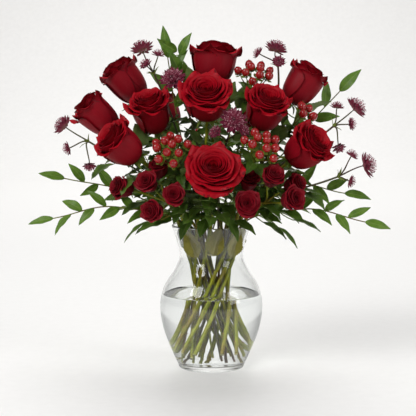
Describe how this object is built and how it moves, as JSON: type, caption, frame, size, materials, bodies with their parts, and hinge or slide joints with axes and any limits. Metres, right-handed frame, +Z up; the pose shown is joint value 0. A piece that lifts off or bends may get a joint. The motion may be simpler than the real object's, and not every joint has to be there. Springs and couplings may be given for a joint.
{
  "type": "roses in a vase",
  "caption": "Bouquet of red roses, dark spray roses, red berries, masterwort and leaf sprigs, standing in water in a clear waisted glass vase.",
  "frame": {"origin": "centre of the vase's flat underside, on the vase's axis", "axes": "+Z up along the vase's axis, -Y towards the bouquet's front, +X to the right seen from the front"},
  "size_m": [0.5016, 0.3711, 0.4835],
  "materials": {
    "clear_glass": "polished",
    "water": "polished",
    "rose_petal": "satin",
    "spray_petal": "satin",
    "rose_green": "satin",
    "berry_red": "gloss",
    "masterwort": "matte",
    "leaf_green": "satin"
  },
  "bodies": {
    "root": {"vase": "clear_glass", "water": "water", "rose_bloom_01": "rose_petal", "rose_bloom_02": "rose_petal", "rose_bloom_03": "rose_petal", "rose_bloom_04": "rose_petal", "rose_bloom_05": "rose_petal", "rose_bloom_06": "rose_petal", "rose_bloom_07": "rose_petal", "rose_bloom_08": "rose_petal", "rose_bloom_09": "rose_petal", "rose_bloom_10": "rose_petal", "rose_bloom_11": "rose_petal", "rose_bloom_12": "rose_petal", "rose_stem_01": "rose_green", "rose_stem_02": "rose_green", "rose_stem_03": "rose_green", "rose_stem_04": "rose_green", "rose_stem_05": "rose_green", "rose_stem_06": "rose_green", "rose_stem_07": "rose_green", "rose_stem_08": "rose_green", "rose_stem_09": "rose_green", "rose_stem_10": "rose_green", "rose_stem_11": "rose_green", "rose_stem_12": "rose_green", "spray_bloom_01": "spray_petal", "spray_bloom_02": "spray_petal", "spray_bloom_03": "spray_petal", "spray_bloom_04": "spray_petal", "spray_bloom_05": "spray_petal", "spray_bloom_06": "spray_petal", "spray_bloom_07": "spray_petal", "spray_bloom_08": "spray_petal", "spray_bloom_09": "spray_petal", "spray_bloom_10": "spray_petal", "spray_bloom_11": "spray_petal", "spray_bloom_12": "spray_petal", "spray_stem_1": "rose_green", "spray_stem_2": "rose_green", "spray_stem_3": "rose_green", "berry_sprig_1": "berry_red", "berry_sprig_2": "berry_red", "berry_sprig_3": "berry_red", "berry_sprig_4": "berry_red", "berry_sprig_5": "berry_red", "masterwort_1": "masterwort", "masterwort_2": "masterwort", "masterwort_3": "masterwort", "masterwort_4": "masterwort", "masterwort_5": "masterwort", "masterwort_6": "masterwort", "masterwort_7": "masterwort", "leaf_sprig_1": "leaf_green", "leaf_sprig_2": "leaf_green", "leaf_sprig_3": "leaf_green", "leaf_sprig_4": "leaf_green", "leaf_sprig_5": "leaf_green", "leaf_sprig_6": "leaf_green", "leaf_sprig_7": "leaf_green"}
  },
  "joints": []
}
